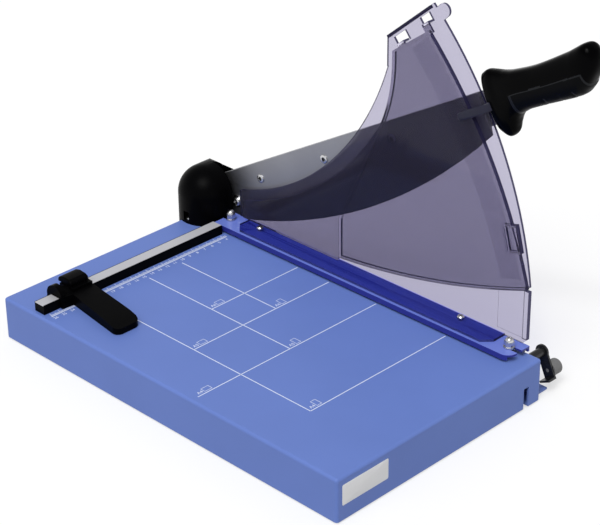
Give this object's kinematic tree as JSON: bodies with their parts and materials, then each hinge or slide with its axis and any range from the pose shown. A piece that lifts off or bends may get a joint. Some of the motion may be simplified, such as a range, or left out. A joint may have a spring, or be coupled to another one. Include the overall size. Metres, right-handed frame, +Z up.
{
  "type": "paper cutter",
  "caption": "Lever paper cutter: folded steel table, curved knife on a raised arm, sprung press bar with a clear two-layer guard, paper rail with sliding stop.",
  "frame": {"origin": "middle of the whole cutter's bounding box at floor level, arm raised as in the picture", "axes": "+X to the user's right towards the knife, +Y to the rear, +Z up"},
  "size_m": [0.301, 0.4964, 0.3534],
  "materials": {
    "table_paint": "satin blue powder coat",
    "bar_paint": "satin dark blue paint",
    "black_plastic": "fine satin moulding",
    "handle_plastic": "gloss moulding",
    "clear_plastic": "clear smoke tint",
    "grey_plastic": "satin",
    "rubber": "matte",
    "steel": "ground",
    "screw_steel": "zinc plated",
    "strip_metal": "satin",
    "black_metal": "black satin",
    "bush_brass": "turned",
    "felt": "felt"
  },
  "bodies": {
    "base": {"base_tray": "table_paint", "rubber_feet": "rubber", "counter_blade": "steel", "counter_blade_screws": "screw_steel", "pivot_bracket": "black_metal", "bracket_screws": "screw_steel", "axle_bolt": "steel", "axle_spacer": "steel", "friction_washer": "steel", "disc_springs": "steel", "axle_nut": "screw_steel", "hub_cover": "black_plastic", "hub_cover_screw": "screw_steel", "paper_rail": "black_plastic", "rail_strip": "strip_metal", "rail_screws": "screw_steel", "guide_bolts": "screw_steel", "guide_washers": "screw_steel", "guide_nuts": "screw_steel", "press_springs": "steel", "latch_stud": "steel", "latch_stud_nut": "screw_steel", "latch_clip": "black_metal"},
    "blade_arm": {"arm": "steel", "arm_bush": "bush_brass", "blade": "steel", "blade_screws": "screw_steel", "heel_screw": "screw_steel", "handle": "handle_plastic", "grip_insert": "rubber", "guide_finger": "black_plastic", "handle_screws": "screw_steel"},
    "press": {"press_bar": "bar_paint", "guard_wall": "clear_plastic", "guard_cover": "clear_plastic", "guard_screws": "screw_steel"},
    "paper_stop": {"stop_body": "black_plastic", "stop_clamp": "black_plastic", "stop_pad": "felt"},
    "latch": {"latch_lever": "black_metal", "latch_knob": "grey_plastic"}
  },
  "joints": [
    {"name": "arm_hinge", "type": "hinge", "parent": "base", "child": "blade_arm", "pos_m": [0.1243, 0.21216, 0.053], "axis": [1, 0, 0], "range_deg": [-7, 29.5]},
    {"name": "press_slide", "type": "slide", "parent": "base", "child": "press", "axis": [0, 0, 1], "range_m": [-0.0025, 0], "stiffness_N_per_m": 2500, "springref_m": 0.006, "deforming": ["press_springs"]},
    {"name": "stop_slide", "type": "slide", "parent": "base", "child": "paper_stop", "axis": [1, 0, 0], "range_m": [-0.015, 0.168]},
    {"name": "latch_hinge", "type": "hinge", "parent": "base", "child": "latch", "pos_m": [0.1375, -0.19584, 0.036], "axis": [1, 0, 0], "range_deg": [-35, 30]}
  ]
}
